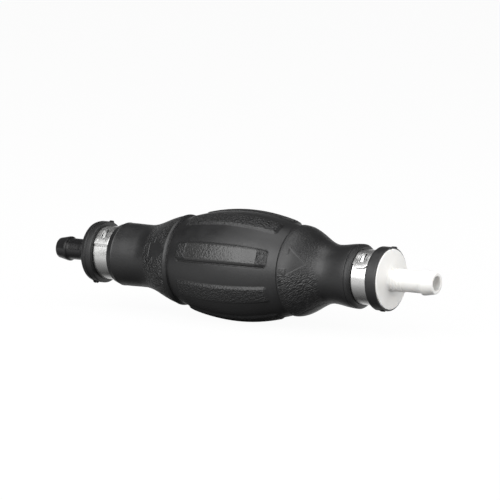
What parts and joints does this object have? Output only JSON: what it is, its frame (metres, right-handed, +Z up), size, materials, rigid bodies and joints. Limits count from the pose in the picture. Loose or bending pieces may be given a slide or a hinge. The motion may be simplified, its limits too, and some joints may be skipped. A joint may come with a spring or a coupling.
{
  "type": "siphon bulb pump",
  "caption": "Hand-squeezed rubber siphon bulb with ribbed hose barbs at both ends, strip clamps on its necks and a sprung check valve inside each neck.",
  "frame": {"origin": "on the bulb's axis, halfway between the two barb tips", "axes": "+X along the flow, from the black inlet barb to the white outlet barb; +Z up; the bare badge and the flow arrows face -Y, 20 degrees above the horizontal"},
  "size_m": [0.1994, 0.0496, 0.0496],
  "materials": {
    "bulb_rubber": "moulded, satin with a leather grain on the shoulders",
    "black_fitting": "moulded nylon, semi-gloss black",
    "white_fitting": "moulded acetal, satin white",
    "strip_steel": "rolled stainless strip",
    "valve_plastic": "moulded natural acetal",
    "seal_rubber": "matt nitrile rubber",
    "spring_steel": "drawn stainless wire"
  },
  "bodies": {
    "pump": {"bulb": "bulb_rubber", "inlet_fitting": "black_fitting", "outlet_fitting": "white_fitting", "inlet_clamp": "strip_steel", "outlet_clamp": "strip_steel", "inlet_seat": "valve_plastic", "inlet_seat_oring": "seal_rubber", "inlet_spring": "spring_steel", "inlet_spring_guide": "valve_plastic", "outlet_seat": "valve_plastic", "outlet_seat_oring": "seal_rubber", "outlet_spring": "spring_steel", "outlet_spring_guide": "valve_plastic"},
    "inlet_valve": {"inlet_poppet": "valve_plastic", "inlet_poppet_seal": "seal_rubber"},
    "outlet_valve": {"outlet_poppet": "valve_plastic", "outlet_poppet_seal": "seal_rubber"}
  },
  "joints": [
    {"name": "inlet_valve_lift", "type": "slide", "parent": "pump", "child": "inlet_valve", "axis": [1, 0, 0], "range_m": [0, 0.0024], "stiffness_N_per_m": 40, "springref_m": -0.002, "deforming": ["inlet_spring"]},
    {"name": "outlet_valve_lift", "type": "slide", "parent": "pump", "child": "outlet_valve", "axis": [1, 0, 0], "range_m": [0, 0.0024], "stiffness_N_per_m": 40, "springref_m": -0.002, "deforming": ["outlet_spring"]}
  ]
}
